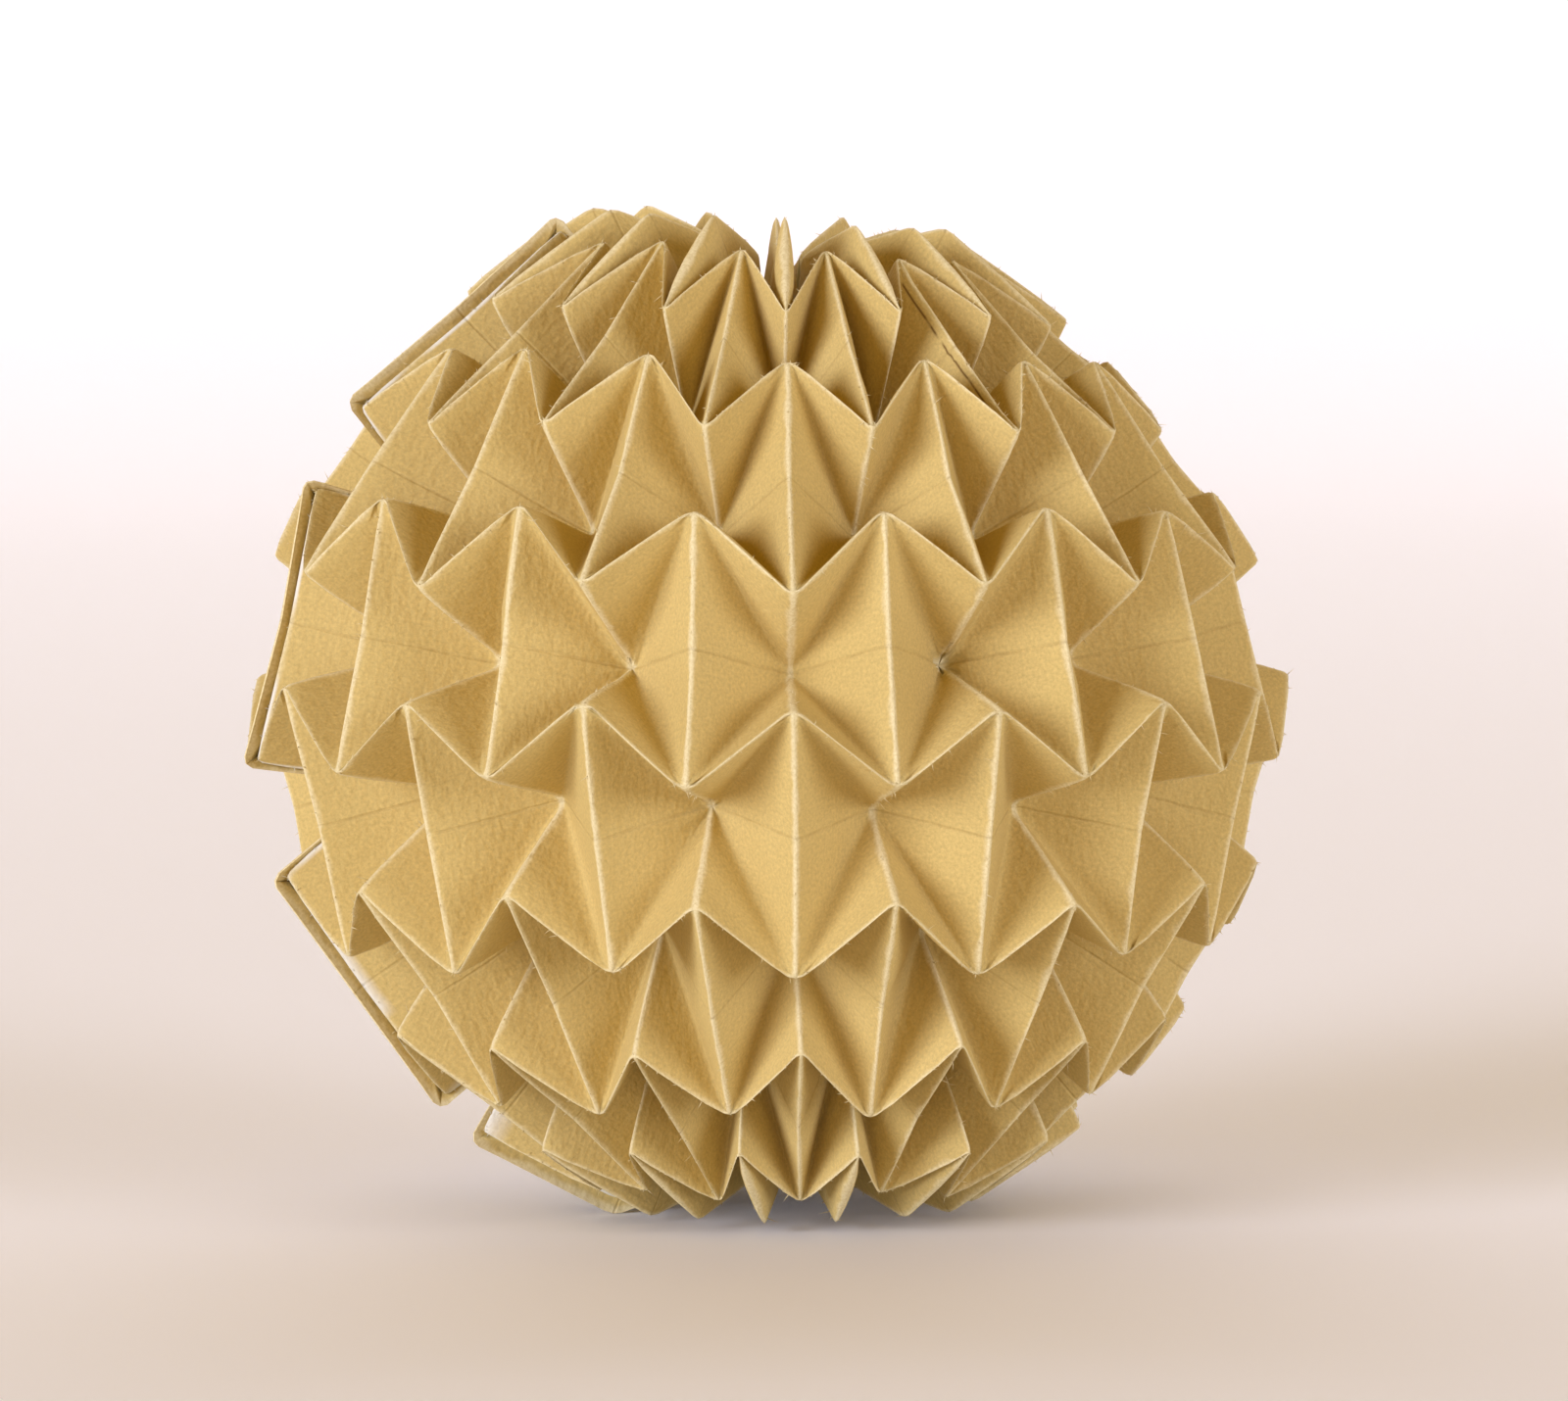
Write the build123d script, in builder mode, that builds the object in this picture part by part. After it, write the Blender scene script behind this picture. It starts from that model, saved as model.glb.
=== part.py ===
from build123d import *

import os
from math import acos, asin, atan2, cos, hypot, pi, radians, sin, sqrt

import numpy as np

# Origami magic ball: one kraft sheet, creased in a waterbomb grid, rolled up and drawn in at both poles.
# Upright creases divide the sheet into columns, and each of them lies in a meridian plane of the ball.
# Along its meridian a crease runs over a ridge, down into a pit, over the next ridge, and so on. All the
# creases share that outline, and every second one is upside down, so that ridges stand beside pits.
# The first and the last column lie on each other, glued. The ball stands on its lower pole, at the origin.

# Driving dimensions in millimetres
ball_radius = 36.5      # ridge tips round the middle of the ball
shoulder_inset = 1.25   # the tips at 45 degrees lie this far inside that radius
crown_rise = 0.35       # the bends of the polar ridges lie this far outside it
middle_nick = 0.25      # dent in each ridge where the half-row crease crosses it
pole_gap = 4.3          # from the axis to the ends of the polar ridges, tucked in at a pole
pole_pinch = 3.4        # from the axis to the innermost points of the sheet's edge
paper = 0.2             # thickness of the sheet
glue = 0.05             # film of glue between the overlapping columns
longest_mitre = 5.0     # limit of the mitre at a sharp fold, in thicknesses of the sheet

# The cells grow with the ball, because their number is fixed
column_share = 0.248    # from one upright crease to the next along the sheet, of the ball's radius
row_share = 0.5288      # length of a ridge, of the ball's radius
bend_share = 0.544      # part of a polar ridge from its foot to where it bends over

# The crease grid
columns = 32            # round the ball, half of them with a ridge in any one row
rows = 8                # from pole to pole
seam_angle = 180.0      # degrees, meridian of the sheet's covered end

column_width = column_share * ball_radius
half_row = row_share * ball_radius / 2
polar_bend = bend_share * 2 * half_row
crown_radius = ball_radius + crown_rise
levels = 2 * rows
half_rows = rows // 2
column_angle = 2 * pi / columns
lap = paper + glue


# Outline of a crease, as (radius, height) points from the middle of the ball

def ridge_tip(latitude):
    """Tip of a ridge at a latitude."""
    reach = ball_radius - shoulder_inset * sin(2 * latitude) ** 2
    return reach * cos(latitude), reach * sin(latitude)


def meeting(start, start_length, end, end_length):
    """Point at two lengths from two points, to the right of the way from start to end."""
    run, rise = end[0] - start[0], end[1] - start[1]
    span = hypot(run, rise)
    along = (span**2 + start_length**2 - end_length**2) / (2 * span)
    aside = sqrt(start_length**2 - along**2)
    return (
        start[0] + (along * run + aside * rise) / span,
        start[1] + (along * rise - aside * run) / span,
    )


def dented_middle(top, foot):
    """Middle of a ridge, pressed in towards the middle of the ball."""
    radius, height = (top[0] + foot[0]) / 2, (top[1] + foot[1]) / 2
    share = 1 - middle_nick / hypot(radius, height)
    return radius * share, height * share


# Row boundaries from the middle of the ball up to the first below the pole: on each, the tops of the
# ridges below it alternate with the feet of the ridges above it, one column width apart.
ridge_angle = 2 * asin(half_row / ball_radius)
cell_cosine = 1 - (column_width / ball_radius) ** 2 / 2
swing = asin(sqrt((cos(column_angle) - cell_cosine) / (1 + cos(column_angle))))
top_latitude = {half_rows: swing}
foot_latitude = {half_rows: -swing}
for boundary in range(half_rows - 1, 0, -1):
    latitude = foot_latitude[boundary + 1] + ridge_angle
    up, out = sin(latitude), cos(latitude) * cos(column_angle)
    top_latitude[boundary] = latitude
    foot_latitude[boundary] = atan2(up, out) - acos(cell_cosine / hypot(up, out))
tops = {boundary: ridge_tip(latitude) for boundary, latitude in top_latitude.items()}
feet = {boundary: ridge_tip(latitude) for boundary, latitude in foot_latitude.items()}

# The polar row: its ridges bend over near half their length and dip towards the axis, and the edge of
# the sheet folds down between their ends.
middles = {row: dented_middle(tops[row - 1], feet[row]) for row in range(2, half_rows + 1)}
middles[1] = meeting(feet[1], polar_bend, (0, 0), crown_radius)
tail = 2 * half_row - polar_bend
tuck = min(tail, middles[1][0] - pole_gap)
tops[0] = (middles[1][0] - tuck, middles[1][1] - sqrt(tail**2 - tuck**2))
pinch_width = sqrt(tops[0][0] ** 2 + pole_pinch**2 - 2 * tops[0][0] * pole_pinch * cos(column_angle))
feet[0] = (pole_pinch, tops[0][1] - sqrt(column_width**2 - pinch_width**2))
pits = {row: meeting(feet[row - 1], half_row, tops[row], half_row) for row in range(2, half_rows + 1)}
valley_reach = sqrt(column_width**2 + half_row**2 - (feet[1][0] * sin(column_angle)) ** 2)
pits[1] = meeting(tops[1], half_row, (feet[1][0] * cos(column_angle), feet[1][1]), valley_reach)

# Upper halves of the two kinds of crease, then both whole: the lower half of one is the other upside down
upper = ([], [])
for boundary in range(half_rows + 1):
    ridge_side, pit_side = upper[boundary % 2], upper[1 - boundary % 2]
    ridge_side.append(tops[boundary])
    pit_side.append(feet[boundary])
    if boundary < half_rows:
        ridge_side.append(middles[boundary + 1])
        pit_side.append(pits[boundary + 1])
outlines = [
    crease + [(radius, -height) for radius, height in reversed(other[:-1])]
    for crease, other in (upper, upper[::-1])
]
stand = middles[1][1]


# The sheet, as crease points (line, level) counted from the covered end and from the upper pole

def meridian(line):
    """Outward direction of an upright crease line."""
    angle = radians(seam_angle) + line * column_angle
    return Vector(cos(angle), sin(angle), 0)


def place(line, radius, height):
    """Point of a crease line in the frame of the standing ball."""
    return meridian(line) * radius + Vector(0, 0, height + stand)


def facets(line, level):
    """The two facets of a grid cell, split by its valley crease from a ridge end to a pit."""
    top_left, top_right = (line, level), (line + 1, level)
    low_left, low_right = (line, level + 1), (line + 1, level + 1)
    falling = (line + level // 2 + level) % 2 == 0
    if falling:
        return (top_left, low_left, low_right), (top_left, low_right, top_right)
    return (top_left, low_left, top_right), (low_left, low_right, top_right)


def mitre(line, level):
    """Move in the meridian plane, as (radius, height), that lies 1 mm inside all facets at a point."""
    facing = []
    for cell in range(max(level - 1, 0), min(level + 1, levels)):
        for facet in facets(0, cell):
            if (line, level) in facet:
                first, second, third = (place(i, *outlines[i % 2][n]) for i, n in facet)
                normal = (second - first).cross(third - first).normalized()
                facing.append((normal.dot(meridian(line)), normal.Z))
    move = np.linalg.lstsq(np.array(facing), -np.ones(len(facing)), rcond=None)[0]
    return move * min(1, longest_mitre / np.linalg.norm(move))


mitres = [[mitre(line, level) for level in range(levels + 1)] for line in (0, 1)]


def skin(line, level, depth):
    """Point of the sheet at a depth below its outer side. The covered end lies under the other end."""
    radius, height = outlines[line % 2][level]
    inward, down = mitres[line % 2][level]
    sunk = depth + (lap if line < 2 else 0)
    return place(line, radius + sunk * inward, height + sunk * down)


def face(*points):
    """Flat face through its corners."""
    return Face(Wire.make_polygon(points))


lines = columns + 1
faces = []
for line in range(lines):
    for level in range(levels):
        for facet in facets(line, level):
            faces.append(face(*(skin(*point, 0) for point in facet)))
            faces.append(face(*(skin(*point, paper) for point in reversed(facet))))
    for edge in (0, levels):
        left, right = (line, edge), (line + 1, edge)
        faces.append(face(skin(*left, 0), skin(*right, 0), skin(*right, paper)))
        faces.append(face(skin(*left, 0), skin(*right, paper), skin(*left, paper)))
for end in (0, lines):
    for level in range(levels):
        upper_point, lower_point = (end, level), (end, level + 1)
        faces.append(
            face(
                skin(*upper_point, 0),
                skin(*lower_point, 0),
                skin(*lower_point, paper),
                skin(*upper_point, paper),
            )
        )

with BuildPart() as folded_sheet:
    add(Solid(Shell(faces)))
folded_sheet.part.label = "folded_sheet"

os.makedirs("parts", exist_ok=True)
export_step(folded_sheet.part, "parts/folded_sheet.step")
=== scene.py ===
import bpy
import numpy as np
from mathutils import Matrix, Vector


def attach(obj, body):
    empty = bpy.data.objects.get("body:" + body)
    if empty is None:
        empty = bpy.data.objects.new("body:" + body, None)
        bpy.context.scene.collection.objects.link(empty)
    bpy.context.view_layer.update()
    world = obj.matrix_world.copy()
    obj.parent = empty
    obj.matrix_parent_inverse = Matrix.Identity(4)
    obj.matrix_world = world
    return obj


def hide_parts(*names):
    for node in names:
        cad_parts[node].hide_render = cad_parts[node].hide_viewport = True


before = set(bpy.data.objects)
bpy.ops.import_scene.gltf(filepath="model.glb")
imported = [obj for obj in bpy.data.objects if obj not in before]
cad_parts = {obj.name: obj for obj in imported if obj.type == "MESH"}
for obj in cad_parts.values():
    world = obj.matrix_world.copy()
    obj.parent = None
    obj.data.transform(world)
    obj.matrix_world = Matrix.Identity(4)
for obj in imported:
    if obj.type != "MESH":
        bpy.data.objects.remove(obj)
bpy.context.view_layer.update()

# The crease grid. The sheet is ruled by hand into 33 columns and 16 half rows, and creased along every
# line of the grid and along a slant in each cell. An upright crease line lies in a meridian plane of the
# ball, where it runs over a ridge, down into a pit, over the next ridge, and so on.
ball_radius = 36.5
shoulder_inset = 1.25  # ridge tips at 45 degrees lie this far inside the ball's radius
crown_rise = 0.35      # bends of the polar ridges lie this far outside it
middle_nick = 0.25     # dent in a ridge where the half-row crease crosses it
pole_gap = 4.3         # from the axis to the ends of the polar ridges
pole_pinch = 3.4       # from the axis to the innermost points of the sheet's edge
column_width = 0.248 * ball_radius
half_row = 0.2644 * ball_radius
polar_bend = 0.544 * 2 * half_row
columns, rows = 32, 8
lines, levels = columns + 1, 2 * rows
equator = rows // 2
column_angle = 2 * np.pi / columns


def ridge_tip(latitude):
    """Point on the ball at a latitude, drawn in most at 45 degrees, as (radius, height)."""
    reach = ball_radius - shoulder_inset * np.sin(2 * latitude) ** 2
    return reach * np.array([np.cos(latitude), np.sin(latitude)])


def meeting(start, start_length, end, end_length):
    """Where two circles round two points meet, on the right of the way from the first to the second."""
    run, rise = np.subtract(end, start)
    span = np.hypot(run, rise)
    along = (span**2 + start_length**2 - end_length**2) / (2 * span)
    aside = np.sqrt(start_length**2 - along**2)
    return np.array(start) + np.array([along * run + aside * rise, along * rise - aside * run]) / span


def half_outline():
    """Upper halves of the two crease outlines, (radius, height) from the ball's middle, pole first.

    On the ball, ridges of one row end one column width from those of the next. A pit lies half a row
    from the ridge ends above and below it. Polar ridges bend over and dip towards the axis.
    """
    ridge_angle = 2 * np.arcsin(half_row / ball_radius)
    cell_cosine = 1 - (column_width / ball_radius) ** 2 / 2
    swing = np.arcsin(np.sqrt((np.cos(column_angle) - cell_cosine) / (1 + np.cos(column_angle))))
    tops, feet = {equator: ridge_tip(swing)}, {equator: ridge_tip(-swing)}
    middles, pits = {}, {}
    foot = -swing
    for boundary in range(equator - 1, 0, -1):
        top = foot + ridge_angle
        up, out = np.sin(top), np.cos(top) * np.cos(column_angle)
        foot = np.arctan2(up, out) - np.arccos(cell_cosine / np.hypot(up, out))
        tops[boundary], feet[boundary] = ridge_tip(top), ridge_tip(foot)
    for row in range(2, equator + 1):
        middle = (tops[row - 1] + feet[row]) / 2
        middles[row] = middle * (1 - middle_nick / np.hypot(*middle))
        pits[row] = meeting(feet[row - 1], half_row, tops[row], half_row)
    middles[1] = meeting(feet[1], polar_bend, (0, 0), ball_radius + crown_rise)
    tail = 2 * half_row - polar_bend
    tuck = min(tail, middles[1][0] - pole_gap)
    tops[0] = middles[1] - [tuck, np.sqrt(tail**2 - tuck**2)]
    pinch = tops[0][0] ** 2 + pole_pinch**2 - 2 * tops[0][0] * pole_pinch * np.cos(column_angle)
    feet[0] = np.array([pole_pinch, tops[0][1] - np.sqrt(column_width**2 - pinch)])
    reach = np.sqrt(column_width**2 + half_row**2 - (feet[1][0] * np.sin(column_angle)) ** 2)
    pits[1] = meeting(tops[1], half_row, feet[1] * [np.cos(column_angle), 1], reach)
    first = [tops[0], middles[1], feet[1], pits[2], tops[2], middles[3], feet[3], pits[4], tops[4]]
    second = [feet[0], pits[1], tops[1], middles[2], feet[2], pits[3], tops[3], middles[4], feet[4]]
    return np.array(first), np.array(second)


def bell(distance, width):
    """Bell curve: 1 at no distance, falling to 1/e at the width."""
    return np.exp(-((distance / width) ** 2))


even_half, odd_half = half_outline()
outline = np.array([
    np.vstack([even_half, (odd_half * [1, -1])[-2::-1]]),
    np.vstack([odd_half, (even_half * [1, -1])[-2::-1]]),
])
stand = outline[0, 1, 1]
line, level = np.meshgrid(np.arange(lines + 1), np.arange(levels + 1), indexing="ij")
turn = np.pi + line * column_angle
radius, height = np.moveaxis(outline[line % 2, level], 2, 0)
creases = np.stack([radius * np.cos(turn), radius * np.sin(turn), height + stand], 2)

# Folded by hand, the ball is a little lopsided, by up to a millimetre: its left and right sides hang to the
# left, its poles stand to the right, and its upper left is fuller. East and north are shares of its size.
half_size = 36
east, north = creases[..., 0] / half_size, (creases[..., 2] - stand) / half_size
creases[..., 0] += 0.55 * north**2 - east**2 + 0.8 * east * north - 0.3 * north
creases[..., 2] += -0.3 * east - 0.75 * east * north - 0.5 * east**2

# Its outline is fuller below and flatter at the upper right, by waves in the angle round the ball as it is
# seen from the front. Each wave, in mm, grows with a power of the distance from the middle, from 5 to 1.
waves = [-0.25j, -0.14j, 0.25 + 0.17j, 0.27j, 0.9j, 0]
fuller = np.polyval(waves, east + 1j * north).real
creases[..., 0] += fuller * east
creases[..., 2] += fuller * north

# Where the two ends lie on each other the paper is stiff: that crease stands out from the middle of the
# ball, by 0.7 mm at half height and by 2 mm near the poles, but not below the ring the ball stands on.
from_seam = abs(line - 1 - columns * np.round((line - 1) / columns))
from_pole = np.minimum(level, levels - level)
proud = (0.7 + 1.3 * ((level - rows) / 6) ** 2) * bell(from_seam, 0.9) * np.clip(from_pole / 2, 0, 1)
away = creases - [0, 0, stand]
away /= np.linalg.norm(away, axis=2, keepdims=True)
away[..., 2] *= np.clip((levels - 1 - level) / 2, 0, 1)
creases += proud[..., None] * away

# No two cells are quite alike either: the points of the grid are off by a few tenths of a millimetre, the
# pits more than the ridge ends, and the neat polar edges hardly at all. Pits do not stray sidewards.
stray_angle = 0.004  # radians round the axis
shake = np.random.default_rng(11)
is_pit = (level % 2 == 1) & ((line + level // 2) % 2 == 1)
at_edge = (level == 0) | (level == levels)
looseness = np.select([at_edge, is_pit], [0.03, 0.25], 0.22)
offsets = shake.normal(size=(columns, levels + 1, 3))
offsets = np.concatenate([offsets, offsets[:2]])
outwards = offsets[..., 0] * looseness
upwards = offsets[..., 1] * looseness
upwards = np.where(level == levels - 1, abs(upwards), upwards)
sidewards = np.where(is_pit, 0, offsets[..., 2] * stray_angle * radius)
creases[..., 0] += outwards * np.cos(turn) - sidewards * np.sin(turn)
creases[..., 1] += outwards * np.sin(turn) + sidewards * np.cos(turn)
creases[..., 2] += upwards


# The folded sheet. Kraft paper 0.2 mm thick does not fold to a knife edge: its creases are round, and
# its panels stay a little bowed. The end of the sheet that comes last is glued over the first column.
# The sharp form is drawn a little proud, so that the round creases come out to size.
paper, glue = 0.2, 0.05
allowance = 0.15   # the sharp form stands this far outside the round one
longest_mitre = 5  # limit at a sharp fold, in thicknesses
end_mitre = 3      # the same where the covered end is sunk
falling_facets = ((0, 0), (0, 1), (1, 1)), ((0, 0), (1, 1), (1, 0))
rising_facets = ((0, 0), (0, 1), (1, 0)), ((0, 1), (1, 1), (1, 0))


def falls(i, j):
    """Whether the slant of a cell falls from its upper left corner, or else rises from its lower left."""
    return (i + j // 2 + j) % 2 == 0


def mitres(points):
    """Move at each crease point that lies 1 mm inside the facets round it, by least squares, with a limit.

    The sums run once round the ball, so that the two ends of the sheet share their values. A hundredth
    of the unit matrix keeps the move steady where the facets lie nearly in one plane.
    """
    i, j = np.meshgrid(np.arange(columns), np.arange(levels), indexing="ij")
    falling = falls(i, j)
    squares = np.zeros((columns, levels + 1, 3, 3))
    sums = np.zeros((columns, levels + 1, 3))
    for chosen, pair in ((falling, falling_facets), (~falling, rising_facets)):
        left, top = i[chosen], j[chosen]
        for facet in pair:
            first, second, third = (points[left + a, top + b] for a, b in facet)
            normal = np.cross(second - first, third - first)
            normal /= np.linalg.norm(normal, axis=1, keepdims=True)
            for a, b in facet:
                where = (left + a) % columns, top + b
                np.add.at(squares, where, normal[:, :, None] * normal[:, None, :])
                np.add.at(sums, where, normal)
    move = -np.linalg.solve(squares + 0.01 * np.eye(3), sums[..., None])[..., 0]
    move *= np.minimum(1, longest_mitre / np.linalg.norm(move, axis=2, keepdims=True))
    return np.concatenate([move, move[:2]])


inward = mitres(creases)
creases -= allowance * inward
end_share = np.minimum(1, end_mitre / np.linalg.norm(inward[:2], axis=2, keepdims=True))
creases[:2] += (paper + glue) * inward[:2] * end_share
inner_creases = creases + (paper + allowance) * inward


def cells(across, down):
    """Column and half row of the cells that hold points of the flat sheet."""
    i = np.clip(np.floor(across).astype(int), 0, lines - 1)
    j = np.clip(np.floor(down).astype(int), 0, levels - 1)
    return i, j


def folded(across, down, creases=creases):
    """Place of points of the flat sheet, in columns across and half rows down: linear on each facet."""
    i, j = cells(across, down)
    a, b = (across - i)[..., None], (down - j)[..., None]
    top_left, top_right = creases[i, j], creases[i + 1, j]
    low_left, low_right = creases[i, j + 1], creases[i + 1, j + 1]
    falls_left = top_left * (1 - b) + low_left * (b - a) + low_right * a
    falls_right = top_left * (1 - a) + top_right * (a - b) + low_right * b
    rises_left = top_left * (1 - a - b) + top_right * a + low_left * b
    rises_right = low_right * (a + b - 1) + low_left * (1 - a) + top_right * (1 - b)
    return np.where(
        falls(i, j)[..., None],
        np.where(b > a, falls_left, falls_right),
        np.where(a + b < 1, rises_left, rises_right),
    )


off_crease = 0.05  # of a cell, so far from a crease that a point lies on one facet


def end_normals(across):
    """Unit normals of the sheet beside one of its ends, each the mean of those above and below a level."""
    nudge = 0.01
    total = np.zeros((levels + 1, 3))
    for step in (-off_crease, off_crease):
        down = np.clip(np.arange(levels + 1) + step, 2 * nudge, levels - 2 * nudge)
        beside = np.full(levels + 1, across)
        here = folded(beside, down)
        normal = np.cross(folded(beside, down + nudge) - here, folded(beside + nudge, down) - here)
        total += normal / np.linalg.norm(normal, axis=1, keepdims=True)
    return total / np.linalg.norm(total, axis=1, keepdims=True)


# At its two ends the sheet is cut square, with no fold to mitre.
inner_creases[0] = creases[0] - paper * end_normals(off_crease)
inner_creases[-1] = creases[-1] - paper * end_normals(lines - off_crease)


def creased(across, down, rounding, creases=creases):
    """The folded place averaged over a disc of the flat sheet, whose radius is the rounding in mm.

    The mean takes the middle twice, six points at half the radius and six at the whole radius.
    """
    angles = np.arange(6) * np.pi / 3
    total = 2 * folded(across, down, creases)
    for share, start in ((0.5, 0.0), (1.0, np.pi / 6)):
        for angle in angles + start:
            du = share * rounding * np.cos(angle) / column_width
            dv = share * rounding * np.sin(angle) / half_row
            total = total + folded(across + du, down + dv, creases)
    return total / 14


# The net of the sheet: each facet has rings of points along its edges, at these depths in mm. Along an edge
# the points stand closer near its ends, where the paper turns most.
ring_depths = 0.0, 0.13, 0.38, 1.0
steps = 6
spacing = (1 - np.cos(np.pi * np.arange(steps) / steps)) / 2


def facet_rings(corners, depths):
    """Points of a flat facet on rings that run inside its edges at given depths in mm, and its middle."""
    corners = np.array(corners, float) * [column_width, half_row]
    following = np.roll(corners, -1, 0)
    opposite = np.linalg.norm(following - np.roll(corners, 1, 0), axis=1)
    middle = (corners * opposite[:, None]).sum(0) / opposite.sum()
    doubled_area = abs(np.linalg.det(corners[1:] - corners[0]))
    inner_radius = doubled_area / opposite.sum()
    share = spacing[None, :, None]
    rim = (corners[:, None] * (1 - share) + following[:, None] * share).reshape(-1, 2)
    shrink = 1 - np.array(depths)[:, None, None] / inner_radius
    rings = (middle + shrink * (rim - middle)).reshape(-1, 2)
    return np.vstack([rings, middle]) / [column_width, half_row]


def facet_triangles(ring_count):
    """Triangles between the rings of a facet and from the last ring to the middle."""
    around = 3 * steps
    here = np.arange(around)
    there = (here + 1) % around
    ring = np.arange(ring_count - 1)[:, None] * around
    bands = np.stack([ring + here, ring + there, ring + there + around, ring + here + around], 2)
    bands = bands.reshape(-1, 4)
    last = (ring_count - 1) * around
    fan = np.stack([last + here, last + there, np.full(around, ring_count * around)], 1)
    return np.vstack([bands[:, [0, 1, 2]], bands[:, [0, 2, 3]], fan])


def places(flat):
    """Whole number for each point of the flat sheet, the same for points that fall together."""
    return np.round(flat * 10**4).astype(np.int64) @ [10**7, 1]


def sheet_net(depths):
    """Points of the flat sheet, each once and sorted by place, and the triangles between them."""
    i, j = np.meshgrid(np.arange(lines), np.arange(levels), indexing="ij")
    falling = falls(i, j)
    local = facet_triangles(len(depths))
    points, triangles, count = [], [], 0
    for chosen, pair in ((falling, falling_facets), (~falling, rising_facets)):
        corner = np.stack([i[chosen], j[chosen]], 1)
        for facet in pair:
            rings = facet_rings(facet, depths)
            points.append((corner[:, None] + rings).reshape(-1, 2))
            first = count + np.arange(len(corner)) * len(rings)
            triangles.append((first[:, None, None] + local).reshape(-1, 3))
            count += len(corner) * len(rings)
    points = np.vstack(points)
    _, once, order = np.unique(places(points), return_index=True, return_inverse=True)
    return points[once], order.reshape(-1)[np.vstack(triangles)]


def corner_normals(points, triangles):
    """Unit normal at each point: the sum of the area vectors of the triangles round it."""
    first, second, third = (points[triangles[:, k]] for k in range(3))
    area = np.cross(second - first, third - first)
    total = np.stack([
        sum(np.bincount(triangles[:, k], area[:, axis], len(points)) for k in range(3)) for axis in range(3)
    ], 1)
    return total / np.maximum(np.linalg.norm(total, axis=1, keepdims=True), 1e-12)


def crease_distances(flat):
    """Distances in mm of flat points from the outward creases, upright or level, and from the slants."""
    across, down = flat[:, 0], flat[:, 1]
    upright = abs(across - np.round(across)) * column_width
    border = abs(down - 2 * np.round(down / 2)) * half_row
    row = np.floor(down / 2)
    shifted = across + row + 1
    from_pit = abs(shifted - 2 * np.round(shifted / 2))
    to_middle = abs(down - 2 * row - 1)
    slant_height = column_width * half_row / np.hypot(column_width, half_row)
    return np.minimum(upright, border), abs(from_pit - to_middle) * slant_height


def fold_limits():
    """Limits in mm of the bow inwards and outwards, for the upper and the lower facet of each cell.

    A limit is half the slope from the facet to the middle plane of its tightest fold. An outward crease
    limits the bow inwards, and an inward crease limits the bow outwards.
    """
    i, j = np.meshgrid(np.arange(lines), np.arange(levels), indexing="ij")
    numbers = {
        facet: np.stack([(i + a) * (levels + 1) + j + b for a, b in facet], 2)
        for facet in falling_facets + rising_facets
    }
    falling = falls(i, j)[..., None]
    upper = np.where(falling, numbers[falling_facets[1]], numbers[rising_facets[0]])
    lower = np.where(falling, numbers[falling_facets[0]], numbers[rising_facets[1]])
    facets = np.stack([upper, lower], 2).reshape(-1, 3)
    points = creases.reshape(-1, 3)
    corners = points[facets]
    normals = np.cross(corners[:, 1] - corners[:, 0], corners[:, 2] - corners[:, 0])
    normals /= np.linalg.norm(normals, axis=1, keepdims=True)
    following, opposite = np.roll(facets, -1, 1), np.roll(facets, -2, 1)
    edges = (np.minimum(facets, following) * 10**4 + np.maximum(facets, following)).ravel()
    order = np.argsort(edges, kind="stable")
    shared = np.flatnonzero(edges[order[1:]] == edges[order[:-1]])
    one, other = order[shared], order[shared + 1]
    cosine = (normals[one // 3] * normals[other // 3]).sum(1)
    slope = 0.5 * np.sqrt((1 + cosine) / np.maximum(1 - cosine, 1e-6))
    across_edge = points[opposite.ravel()[other]] - corners.reshape(-1, 3)[one]
    falls_away = (normals[one // 3] * across_edge).sum(1) < 0
    limits = np.full((2, len(facets)), np.inf)
    for facet in (one // 3, other // 3):
        np.minimum.at(limits, (np.where(falls_away, 0, 1), facet), slope)
    return limits.reshape(2, lines, levels, 2)


def panel_bow(flat):
    """Bow of the panels: on each facet the product of its three edge distances, times its own depth.

    The depth is uneven, 0.02 mm outwards give or take 0.2 mm. It is at most 0.3 of the way to the meridian
    planes beside the facet and within the fold limits, so that panels in a narrow pleat do not touch.
    """
    i, j, lower = np.meshgrid(np.arange(lines), np.arange(levels), (0, 1), indexing="ij")
    share = np.where(lower == 1, 1 / 3, 2 / 3)
    centre = folded(i + np.where(falls(i, j), share, 1 - share), j + np.where(lower == 1, 2 / 3, 1 / 3))
    reach = np.hypot(centre[..., 0], centre[..., 1])
    angle = np.arctan2(centre[..., 1], centre[..., 0]) - np.pi - i * column_angle
    room = reach * np.minimum(abs(np.sin(angle)), abs(np.sin(angle - column_angle)))
    inside, outside = np.minimum(fold_limits(), 0.3 * room)
    depth = np.clip(shake.normal(0.02, 0.2, size=room.shape), -inside, outside)
    depth[columns:] = depth[:1]
    i, j = cells(flat[:, 0], flat[:, 1])
    a, b = flat[:, 0] - i, flat[:, 1] - j
    a = np.where(falls(i, j), a, 1 - a)
    lower = b > a
    product = np.where(lower, (1 - b) * (b - a) * a, (1 - a) * (a - b) * b)
    return 27 * product * depth[i, j, lower.astype(int)]


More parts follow.
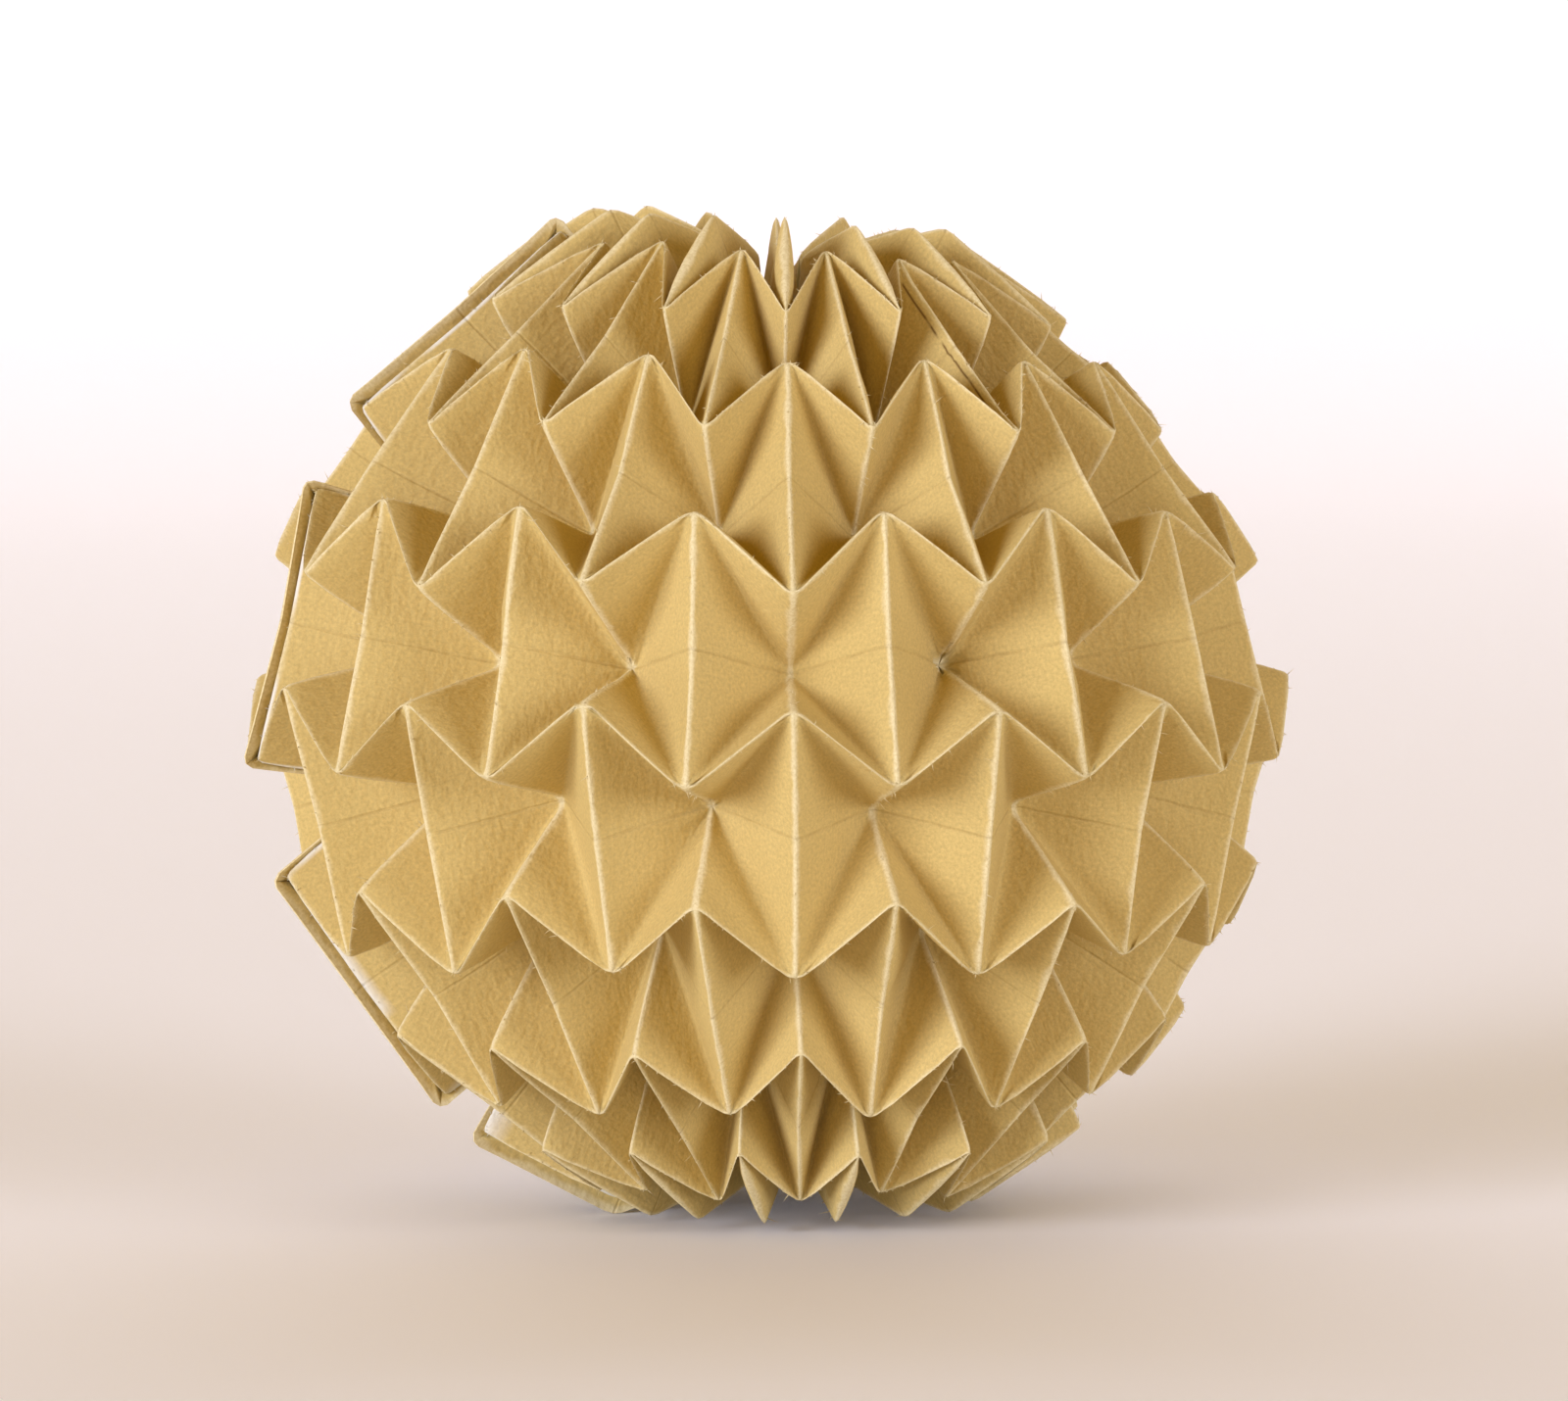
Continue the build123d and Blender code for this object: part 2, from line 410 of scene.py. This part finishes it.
def rib_swell(flat, folded_points):
    """Swell of the polar ridges, which spring open between their foot and their bend.

    It grows from the ridge to 1.2 mm beside it and then fades, and is at most 0.028 of the distance from
    the ball's axis. Along the ridge it is a parabola, with its top halfway.
    """
    upper = flat[:, 1] < rows
    shifted = flat[:, 0] + np.where(upper, 0, 1)
    aside = abs(shifted - 2 * np.round(shifted / 2)) * column_width / 1.2
    down = np.where(upper, flat[:, 1], levels - flat[:, 1])
    along = np.clip((1.9 - down) / 0.95, 0, 1)
    axis_distance = np.hypot(folded_points[:, 0], folded_points[:, 1])
    return 0.028 * axis_distance * aside * np.exp(1 - aside) * 4 * along * (1 - along)


# Damage, at lines and levels of the grid: one ridge cracked, one ridge end crushed and three pits crumpled,
# the last of them pushed in by a distance in mm.
cracked_line, cracked_level = 11, 3
crushed_line, crushed_level = 6, 8
crumpled_pits = (6, 7, 0.0), (7, 9, 0.0), (10, 7, 0.8)


def crease_rounding(across, down):
    """Radius of the rounding in mm: 0.55 at outward creases and 0.9 at slants, more where they are blunt.

    Ridge ends are blunt for a millimetre round, the bends of the polar ridges and one cracked ridge
    along their length, and one ridge end is crushed wide.
    """
    ridge, valley = crease_distances(np.stack([across, down], 1))
    upright = (across - np.round(across)) * column_width
    border = (down - 2 * np.round(down / 2)) * half_row
    soft = 0.55 + 0.35 * bell(valley, 1.1) * (1 - bell(ridge, 1.3))
    soft += 0.55 * bell(np.hypot(upright, border), 1.1)
    bend = np.minimum(abs(down - 1), abs(down - levels + 1)) * half_row
    soft += 0.3 * bell(upright, 2) * bell(bend, 4)
    past_crack = np.clip(abs(down - cracked_level) - 0.8, 0, None) * half_row
    soft += 0.9 * bell((across - cracked_line) * column_width, 1.2) * bell(past_crack, 1)
    from_crush = np.hypot((across - crushed_line) * column_width, (down - crushed_level) * half_row)
    return soft + 0.5 * bell(from_crush, 2)


def pit_wrinkles(flat):
    """Height in mm of the wrinkles round three pits in front, from pushing the ball into shape.

    Five wrinkles run out from each pit. They grow with the distance from it and fade after a millimetre.
    One pit is pushed in, in the form of a bell curve.
    """
    wrinkles = np.zeros(len(flat))
    for pit_line, pit_level, push in crumpled_pits:
        beside, below = (flat[:, 0] - pit_line) * column_width, (flat[:, 1] - pit_level) * half_row
        from_pit = np.hypot(beside, below)
        wrinkles += 0.42 * from_pit * bell(from_pit, 1.1) * np.sin(5 * np.arctan2(below, beside))
        wrinkles -= push * bell(from_pit, 0.7)
    return wrinkles


flat, triangles = sheet_net(ring_depths)
rounding = crease_rounding(flat[:, 0], flat[:, 1])
outer = creased(flat[:, 0], flat[:, 1], rounding)
bow = panel_bow(flat) + rib_swell(flat, outer)
outer += bow[:, None] * corner_normals(outer, triangles)
outer += pit_wrinkles(flat)[:, None] * corner_normals(outer, triangles)

# The inner side is the same sheet a paper thickness in, with fewer points, because it hardly shows. It is
# round at the outward creases only.
inner_flat, inner_triangles = sheet_net(ring_depths[:1])
near = np.searchsorted(places(flat), places(inner_flat))
from_ridge, _ = crease_distances(inner_flat)
inner = creased(inner_flat[:, 0], inner_flat[:, 1], rounding[near] * bell(from_ridge, 0.5), inner_creases)
inner_bow = bow[near] + pit_wrinkles(inner_flat)
inner += inner_bow[:, None] * corner_normals(inner, inner_triangles)

# The four raw edges close it: a wall of one paper thickness all round the sheet.
along_end = (np.arange(levels)[:, None] + spacing).ravel()
along_side = (np.arange(lines)[:, None] + spacing).ravel()
loop = np.concatenate([
    np.stack([0 * along_end, along_end], 1),
    np.stack([along_side, 0 * along_side + levels], 1),
    np.stack([0 * along_end + lines, levels - along_end], 1),
    np.stack([lines - along_side, 0 * along_side], 1),
])
rim = np.searchsorted(places(flat), places(loop))
inner_rim = np.searchsorted(places(inner_flat), places(loop))
here = np.arange(len(rim))
there = (here + 1) % len(rim)
wall = np.vstack([
    np.stack([there, here, here + len(rim)], 1),
    np.stack([there, here + len(rim), there + len(rim)], 1),
])

# Fuzz: handling raises single fibres of the pulp along the outward creases, 0.1 to 0.9 mm long. Each is a
# needle on a triangle, drawn about twice as thick as a real fibre so that it shows.
fibres = 6500
fibre_radius = 0.042
fibre_length = 0.28
root_depth = 0.04
upright_share = 0.6
edge_margin = 0.02  # of a cell
on_upright = shake.random(fibres) < upright_share
fibre_across = np.where(on_upright, shake.integers(0, lines, fibres), shake.random(fibres) * lines)
fibre_down = np.where(on_upright, shake.random(fibres) * levels, 2 * shake.integers(0, rows, fibres))
fibre_across = np.clip(fibre_across + shake.normal(0, 0.02, fibres), edge_margin, lines - edge_margin)
fibre_down = np.clip(fibre_down + shake.normal(0, 0.02, fibres), edge_margin, levels - edge_margin)
fibre_rounding = crease_rounding(fibre_across, fibre_down)
root = creased(fibre_across, fibre_down, fibre_rounding)
sideways = creased(fibre_across + 0.01, fibre_down, fibre_rounding) - root
downways = creased(fibre_across, fibre_down + 0.01, fibre_rounding) - root
outward = np.cross(downways, sideways)
outward /= np.linalg.norm(outward, axis=1, keepdims=True)
growth = 0.8 * outward + shake.normal(0, 0.6, size=(fibres, 3))
growth /= np.linalg.norm(growth, axis=1, keepdims=True)
length = np.clip(shake.lognormal(np.log(fibre_length), 0.5, fibres), 0.1, 0.9)[:, None]
first_side = np.cross(growth, sideways)
first_side /= np.linalg.norm(first_side, axis=1, keepdims=True)
second_side = np.cross(growth, first_side)
foot = root - root_depth * outward
needle = [
    foot + fibre_radius * (first_side * np.cos(angle) + second_side * np.sin(angle))
    for angle in np.arange(3) * 2 * np.pi / 3
]
needle = np.stack([*needle, root + growth * length], 1)
needle_triangles = np.array([[0, 2, 1], [0, 1, 3], [1, 2, 3], [2, 0, 3]])
fuzz_triangles = (np.arange(fibres)[:, None, None] * 4 + needle_triangles).reshape(-1, 3)
fuzz_flat = np.repeat(np.stack([fibre_across, fibre_down], 1), 4, axis=0)

# One mesh holds the two sides, the raw edges and the fuzz. It stands on the floor, in metres.
blocks = [
    (outer, triangles, flat),
    (inner, inner_triangles[:, ::-1], inner_flat),
    (np.vstack([outer[rim], inner[inner_rim]]), wall, np.vstack([loop, loop])),
    (needle.reshape(-1, 3), fuzz_triangles, fuzz_flat),
]
starts = np.cumsum([0] + [len(points) for points, _, _ in blocks])
all_points = np.vstack([points for points, _, _ in blocks])
all_triangles = np.vstack([block[1] + start for block, start in zip(blocks, starts)])
all_flat = np.vstack([block[2] for block in blocks]) * [column_width, half_row]
all_points[:, 2] -= all_points[:, 2].min()

sheet_mesh = bpy.data.meshes.new("folded_kraft_sheet")
sheet_mesh.vertices.add(len(all_points))
sheet_mesh.vertices.foreach_set("co", (all_points * 0.001).ravel())
sheet_mesh.loops.add(all_triangles.size)
sheet_mesh.loops.foreach_set("vertex_index", all_triangles.ravel())
sheet_mesh.polygons.add(len(all_triangles))
sheet_mesh.polygons.foreach_set("loop_start", np.arange(0, all_triangles.size, 3))
sheet_mesh.update(calc_edges=True)
sheet_mesh.polygons.foreach_set("use_smooth", np.ones(len(all_triangles), bool))

# The UV map is the flat sheet, with one unit for 300 mm both ways.
uv_unit = 300
sheet_uv = sheet_mesh.uv_layers.new(name="flat_sheet")
sheet_uv.data.foreach_set("uv", (all_flat[all_triangles.ravel()] / uv_unit).ravel())
sheet_mesh.validate()

sheet = bpy.data.objects.new("folded_kraft_sheet", sheet_mesh)
bpy.context.collection.objects.link(sheet)
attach(sheet, "root")
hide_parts("folded_sheet")


# Brown kraft paper, uncoated and machine-finished: a matte, slightly pebbled surface of long fibres, pale
# where a crease has been handled and with a painted highlight along the ridges, with fine ruled creases
# across the panels that carry painted shade.
kraft = bpy.data.materials.new("uncoated_kraft_paper")
kraft.use_nodes = True
kraft.node_tree.nodes.clear()


def colour(hex_value):
    """Linear colour of an sRGB hex value."""
    parts = np.array([int(hex_value[k:k + 2], 16) for k in (1, 3, 5)]) / 255
    return (*np.where(parts <= 0.04045, parts / 12.92, ((parts + 0.055) / 1.055) ** 2.4), 1.0)


def node(kind, inputs, **settings):
    """Add a node to the paper, with its settings, and its inputs as values or as sockets to link from."""
    added = kraft.node_tree.nodes.new(kind)
    for name, value in settings.items():
        setattr(added, name, value)
    for name, value in inputs.items():
        if isinstance(value, bpy.types.NodeSocket):
            kraft.node_tree.links.new(value, added.inputs[name])
        else:
            added.inputs[name].default_value = value
    return added


uv = node("ShaderNodeUVMap", {}, uv_map="flat_sheet").outputs[0]
to_mm = uv_unit, uv_unit, uv_unit
ruled = node("ShaderNodeVectorMath", {0: uv, 1: to_mm}, operation="MULTIPLY").outputs[0]

# Wobble of the hand-made creases, 0.15 mm over some 4 mm
wobble = node("ShaderNodeTexNoise", {"Vector": ruled, "Scale": 1 / 4, "Detail": 2.0}).outputs["Color"]
wobble = node("ShaderNodeVectorMath", {0: wobble, 1: (0.5, 0.5, 0.5)}, operation="SUBTRACT").outputs[0]
wobble = node("ShaderNodeVectorMath", {0: wobble, 1: (0.3, 0.3, 0)}, operation="MULTIPLY").outputs[0]
marked = node("ShaderNodeVectorMath", {0: ruled, 1: wobble}, operation="ADD").outputs[0]
marked = node("ShaderNodeSeparateXYZ", {0: marked}).outputs
column = node("ShaderNodeMath", {0: marked[0], 1: column_width}, operation="DIVIDE").outputs[0]
row = node("ShaderNodeMath", {0: marked[1], 1: 2 * half_row}, operation="DIVIDE").outputs[0]

# Distances in mm from the upright creases, the row boundaries and the half-row creases
upright = node("ShaderNodeMath", {0: column, 1: 0.5}, operation="PINGPONG").outputs[0]
upright = node("ShaderNodeMath", {0: upright, 1: column_width}, operation="MULTIPLY").outputs[0]
border = node("ShaderNodeMath", {0: row, 1: 0.5}, operation="PINGPONG").outputs[0]
border = node("ShaderNodeMath", {0: border, 1: 2 * half_row}, operation="MULTIPLY").outputs[0]
ruling = node("ShaderNodeMath", {0: half_row, 1: border}, operation="SUBTRACT").outputs[0]
mountain = node("ShaderNodeMath", {0: upright, 1: border}, operation="MINIMUM").outputs[0]

# Wear, with the painted highlight of the rounded ridge, comes and goes along a crease, over 2 mm or so
patchy = node("ShaderNodeTexNoise", {"Vector": ruled, "Scale": 1 / 2, "Detail": 3.0}).outputs["Fac"]
wear_and_highlight_width = node(
    "ShaderNodeMapRange",
    {"Value": patchy, "From Min": 0.3, "From Max": 0.7, "To Min": 0.3, "To Max": 0.8},
).outputs[0]
worn_and_highlight = node(
    "ShaderNodeMapRange",
    {"Value": mountain, "From Min": 0.12, "From Max": wear_and_highlight_width, "To Min": 1.0, "To Max": 0.0},
    interpolation_type="SMOOTHSTEP",
).outputs[0]
scored = node(
    "ShaderNodeMapRange",
    {"Value": ruling, "From Min": 0.02, "From Max": 0.16, "To Min": 1.0, "To Max": 0.0},
    interpolation_type="SMOOTHSTEP",
).outputs[0]

# One ridge has cracked 1.1 mm beside its fold: a fine line of painted shade, standing for the slit, wanders
# along it, with gaps
crack_line = cracked_line - 1.1 / column_width
crack_row = cracked_level / 2
half_crack = 0.14 / column_width
crack_slit_shade = node("ShaderNodeMath", {0: column, 1: crack_line}, operation="SUBTRACT").outputs[0]
crack_slit_shade = node("ShaderNodeMath", {0: crack_slit_shade}, operation="ABSOLUTE").outputs[0]
crack_slit_shade = node(
    "ShaderNodeMapRange",
    {"Value": crack_slit_shade, "From Min": 0.0, "From Max": half_crack, "To Min": 1.0, "To Max": 0.0},
).outputs[0]
crack_gaps = node("ShaderNodeMapRange", {"Value": patchy, "From Min": 0.38, "From Max": 0.5}).outputs[0]
crack_slit_shade = node("ShaderNodeMath", {0: crack_slit_shade, 1: crack_gaps}, operation="MULTIPLY").outputs[0]
crack_ends = node("ShaderNodeMath", {0: row, 1: crack_row, 2: 0.44}, operation="COMPARE").outputs[0]
crack_slit_shade = node("ShaderNodeMath", {0: crack_slit_shade, 1: crack_ends}, operation="MULTIPLY").outputs[0]

# Glue has squeezed out in places beside the seam, a film 0.5 mm wide, its whitish colour partly painted
# sheen, and all along and 2 mm wide near the lower pole
seam_line = 1
film_full = seam_line + 0.3 / column_width
film_narrow, film_wide = seam_line + 0.5 / column_width, seam_line + 2 / column_width
film_end = node(
    "ShaderNodeMapRange",
    {"Value": row, "From Min": 4.5, "From Max": 7.0, "To Min": film_narrow, "To Max": film_wide},
).outputs[0]
film = node(
    "ShaderNodeMapRange",
    {"Value": column, "From Min": film_full, "From Max": film_end, "To Min": 1.0, "To Max": 0.0},
).outputs[0]
film_start = node("ShaderNodeMath", {0: column, 1: seam_line - 0.01}, operation="GREATER_THAN").outputs[0]
film = node("ShaderNodeMath", {0: film, 1: film_start}, operation="MULTIPLY").outputs[0]
beads = node("ShaderNodeTexNoise", {"Vector": ruled, "Scale": 1 / 9, "Detail": 1.0}).outputs["Fac"]
more_glue = node(
    "ShaderNodeMapRange", {"Value": row, "From Min": 6.7, "From Max": 7.2, "To Max": 0.2}
).outputs[0]
beads = node("ShaderNodeMath", {0: beads, 1: more_glue}, operation="ADD").outputs[0]
beads = node("ShaderNodeMapRange", {"Value": beads, "From Min": 0.42, "From Max": 0.5}).outputs[0]
film = node("ShaderNodeMath", {0: film, 1: beads}, operation="MULTIPLY").outputs[0]

# Pulp: cloudy over 12 mm, flecks of 0.25 mm and finer, a pebbled finish of 0.5 mm, longer down the sheet
cloud = node("ShaderNodeTexNoise", {"Vector": ruled, "Scale": 1 / 12, "Detail": 3.0}).outputs["Fac"]
fleck = node(
    "ShaderNodeTexNoise", {"Vector": ruled, "Scale": 1 / 0.25, "Detail": 5.0, "Roughness": 0.7}
).outputs["Fac"]
grain = node("ShaderNodeVectorMath", {0: ruled, 1: (1, 0.6, 1)}, operation="MULTIPLY").outputs[0]
pebble = node("ShaderNodeTexNoise", {"Vector": grain, "Scale": 1 / 0.5, "Detail": 1.5}).outputs["Fac"]

# How much of each mark shows: wear with its painted highlight on the raised flecks most, painted shade in
# the ruled creases in patches, glue with its painted sheen as a thin film
shade = node(
    "ShaderNodeMapRange",
    {"Value": fleck, "From Min": 0.3, "From Max": 0.7, "To Min": 0.83, "To Max": 1.16},
).outputs[0]
wear_and_highlight_share = node(
    "ShaderNodeMapRange",
    {"Value": fleck, "From Min": 0.3, "From Max": 0.7, "To Min": 0.3, "To Max": 0.9},
).outputs[0]
wear_and_highlight_share = node("ShaderNodeMath", {0: worn_and_highlight, 1: wear_and_highlight_share}, operation="MULTIPLY").outputs[0]
# Painted shade in the grooves of the half-row creases, in patches
groove_shade_share = node(
    "ShaderNodeMapRange", {"Value": patchy, "From Min": 0.35, "From Max": 0.65, "To Max": 0.25}
).outputs[0]
groove_shade_share = node("ShaderNodeMath", {0: scored, 1: groove_shade_share}, operation="MULTIPLY").outputs[0]
# Whitish glue film, its colour partly painted sheen
glue_and_sheen_share = node("ShaderNodeMath", {0: film, 1: 0.75}, operation="MULTIPLY").outputs[0]

# Tones, one over the other: pulp, flecks, wear with painted highlight, painted shade in the ruled creases,
# painted shade of the crack, glue with painted sheen
cloudy = {"Factor": cloud, "A": colour("#C7AD67"), "B": colour("#D5BC77")}
tone = node("ShaderNodeMix", cloudy, data_type="RGBA").outputs["Result"]
flecked = {"Factor": 1.0, "A": tone, "B": shade}
tone = node("ShaderNodeMix", flecked, data_type="RGBA", blend_type="MULTIPLY").outputs["Result"]
for share, mark in (
    # pale wear, partly a painted highlight along the rounded ridges
    (wear_and_highlight_share, "#EDE1B4"),
    # painted shade in the ruled grooves
    (groove_shade_share, "#96743A"),
    # painted shade of the crack's slit
    (crack_slit_shade, "#6B4A1E"),
    # whitish glue, partly painted sheen
    (glue_and_sheen_share, "#EDEDE2"),
):
    overlaid = {"Factor": share, "A": tone, "B": colour(mark)}
    tone = node("ShaderNodeMix", overlaid, data_type="RGBA").outputs["Result"]
gloss = node("ShaderNodeMapRange", {"Value": film, "To Min": 0.88, "To Max": 0.35}).outputs[0]

# Relief in mm: the pebbled finish, the raised fibres, and a shallow groove at each half-row crease
relief = node("ShaderNodeMath", {0: pebble, 1: 0.1}, operation="MULTIPLY").outputs[0]
raised = node("ShaderNodeMath", {0: fleck, 1: 0.03}, operation="MULTIPLY").outputs[0]
relief = node("ShaderNodeMath", {0: relief, 1: raised}, operation="ADD").outputs[0]
groove = node("ShaderNodeMath", {0: scored, 1: -0.04}, operation="MULTIPLY").outputs[0]
relief = node("ShaderNodeMath", {0: relief, 1: groove}, operation="ADD").outputs[0]
bump = node("ShaderNodeBump", {"Height": relief, "Distance": 0.001, "Strength": 1.0}).outputs[0]
shader = node(
    "ShaderNodeBsdfPrincipled",
    {"Base Color": tone, "Roughness": gloss, "IOR": 1.45, "Specular IOR Level": 0.3, "Normal": bump},
).outputs[0]
node("ShaderNodeOutputMaterial", {"Surface": shader})
sheet_mesh.materials.append(kraft)


# The stage, in metres: a pale card sweep that runs along the floor and curves up behind the ball. It is so
# large that its edges are out of view.
floor_length, floor_front, bend_radius = 2.4, 1.6, 0.6
sweep_width, sweep_length = 4, 5.3
sweep_columns, sweep_rows = 4, 106


def sweep(across, along):
    """Points of the sweep: flat along the floor, then a quarter turn, then upright."""
    bend = np.clip((along - floor_length) / bend_radius, 0, np.pi / 2)
    past = np.clip(along - floor_length - bend_radius * np.pi / 2, 0, None)
    y = np.minimum(along, floor_length) - floor_front + bend_radius * np.sin(bend)
    z = bend_radius * (1 - np.cos(bend)) + past
    return np.stack([across, y, z], -1)


grid_across, grid_along = np.meshgrid(
    np.linspace(-sweep_width / 2, sweep_width / 2, sweep_columns + 1),
    np.linspace(0, sweep_length, sweep_rows + 1),
)
sweep_points = sweep(grid_across, grid_along).reshape(-1, 3)
corner = (np.arange(sweep_rows)[:, None] * (sweep_columns + 1) + np.arange(sweep_columns)).ravel()
sweep_faces = np.stack([corner, corner + 1, corner + sweep_columns + 2, corner + sweep_columns + 1], 1)
sweep_mesh = bpy.data.meshes.new("backdrop_sweep")
sweep_mesh.from_pydata(sweep_points.tolist(), [], sweep_faces.tolist())
sweep_mesh.polygons.foreach_set("use_smooth", np.ones(len(sweep_faces), bool))
backdrop = bpy.data.objects.new("backdrop_sweep", sweep_mesh)
bpy.context.collection.objects.link(backdrop)
sweep_paper = bpy.data.materials.new("matte_white_card")
sweep_paper.use_nodes = True
sweep_shader = sweep_paper.node_tree.nodes["Principled BSDF"]
sweep_shader.inputs["Base Color"].default_value = colour("#FFFFFF")
sweep_shader.inputs["Roughness"].default_value = 0.95
sweep_mesh.materials.append(sweep_paper)

# Light: two soft boxes beside the camera, 50 degrees to either side and low, the left one the stronger, in
# a warm room. What faces the camera at the bottom of a pleat is out of reach of both.
middle = Vector((0, 0, stand * 0.001))
for name, strength, side in (("left_soft_box", 3.8, -1), ("right_soft_box", 2.0, 1)):
    box = bpy.data.lights.new(name, "SUN")
    box.energy = strength
    box.color = colour("#E1E6FF")[:3]
    box.angle = np.radians(35)
    box_stand = bpy.data.objects.new(name, box)
    box_stand.location = (side * 0.754, -0.633, 0.209)
    box_stand.rotation_euler = (middle - box_stand.location).to_track_quat("-Z", "Y").to_euler()
    bpy.context.collection.objects.link(box_stand)
room = bpy.data.worlds.new("warm_room")
room.use_nodes = True
room_light = room.node_tree.nodes["Background"]
room_light.inputs["Color"].default_value = colour("#FFCA20")
room_light.inputs["Strength"].default_value = 0.34
bpy.context.scene.world = room
bpy.context.scene.view_settings.view_transform = "Standard"

# Camera: a long lens half a metre away, 4.8 degrees above the ball's middle and 1.4 degrees to its left,
# leaning half a degree.
elevation, aside, lean_angle = np.radians(4.79), np.radians(1.41), np.radians(0.48)
distance, aim_right, aim_above = 0.504, 0.000236, 0.00155
back = Vector((
    -np.sin(aside) * np.cos(elevation), -np.cos(aside) * np.cos(elevation), np.sin(elevation)
))
right = Vector((0, 0, 1)).cross(back).normalized()
above = back.cross(right)
aim = middle + right * aim_right + above * aim_above
eye = aim + back * distance
turned_right = right * np.cos(lean_angle) - above * np.sin(lean_angle)
turned_above = above * np.cos(lean_angle) + right * np.sin(lean_angle)
view = bpy.data.cameras.new("view")
view.sensor_fit = "HORIZONTAL"
view.sensor_width = 36
view.lens = 163.3
view.clip_start = 0.01
camera = bpy.data.objects.new("view", view)
facing = Matrix((turned_right, turned_above, back)).transposed().to_4x4()
camera.matrix_world = Matrix.Translation(eye) @ facing
bpy.context.collection.objects.link(camera)
bpy.context.scene.camera = camera
